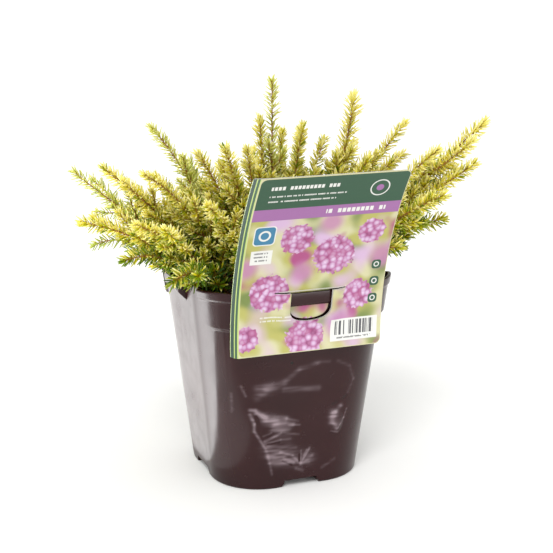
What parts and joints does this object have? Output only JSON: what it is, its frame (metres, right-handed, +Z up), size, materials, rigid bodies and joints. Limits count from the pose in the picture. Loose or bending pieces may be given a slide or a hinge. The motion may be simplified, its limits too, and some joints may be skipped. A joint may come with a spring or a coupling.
{
  "type": "potted darley dale heath",
  "caption": "Bushy golden-leaved winter heath with needle foliage, in a square tapered nursery pot with a folded card label on its strap.",
  "frame": {"origin": "middle of the pot's foot, on the surface that it stands on", "axes": "+Z up; -Y points out of the side of the pot that carries the label; +X is to the right, seen from that side"},
  "size_m": [0.279, 0.2242, 0.2725],
  "materials": {
    "pot": "glossy dark aubergine-brown moulded plastic",
    "growing_mix": "rough dark brown peat-like growing mix",
    "label_card": null,
    "foliage_gold": "golden-yellow needles on bronze stems",
    "foliage_green": "mid to dark green needles on brown stems"
  },
  "bodies": {
    "root": {"pot": "pot", "soil": "growing_mix", "label": "label_card", "leafy_stem_01": "foliage_gold", "leafy_stem_02": "foliage_gold", "leafy_stem_03": "foliage_gold", "leafy_stem_04": "foliage_gold", "leafy_stem_05": "foliage_gold", "leafy_stem_06": "foliage_gold", "leafy_stem_07": "foliage_green", "leafy_stem_08": "foliage_green", "leafy_stem_09": "foliage_green", "leafy_stem_10": "foliage_gold", "leafy_stem_11": "foliage_gold", "leafy_stem_12": "foliage_gold", "leafy_stem_13": "foliage_green", "leafy_stem_14": "foliage_gold", "leafy_stem_15": "foliage_gold", "leafy_stem_16": "foliage_gold", "leafy_stem_17": "foliage_gold", "leafy_stem_18": "foliage_gold", "leafy_stem_19": "foliage_gold", "leafy_stem_20": "foliage_gold", "leafy_stem_21": "foliage_gold", "leafy_stem_22": "foliage_gold", "leafy_stem_23": "foliage_gold", "leafy_stem_24": "foliage_gold", "leafy_stem_25": "foliage_gold", "leafy_stem_26": "foliage_gold", "leafy_stem_27": "foliage_green", "leafy_stem_28": "foliage_green", "leafy_stem_29": "foliage_gold", "leafy_stem_30": "foliage_green", "leafy_stem_31": "foliage_gold", "leafy_stem_32": "foliage_gold", "leafy_stem_33": "foliage_gold", "leafy_stem_34": "foliage_green", "leafy_stem_35": "foliage_gold", "leafy_stem_36": "foliage_gold", "leafy_stem_37": "foliage_gold", "leafy_stem_38": "foliage_gold", "leafy_stem_39": "foliage_green", "leafy_stem_40": "foliage_gold", "leafy_stem_41": "foliage_gold", "leafy_stem_42": "foliage_gold", "leafy_stem_43": "foliage_gold", "leafy_stem_44": "foliage_gold", "leafy_stem_45": "foliage_gold", "leafy_stem_46": "foliage_gold", "leafy_stem_47": "foliage_gold", "leafy_stem_48": "foliage_gold", "leafy_stem_49": "foliage_gold", "leafy_stem_50": "foliage_gold"}
  },
  "joints": []
}
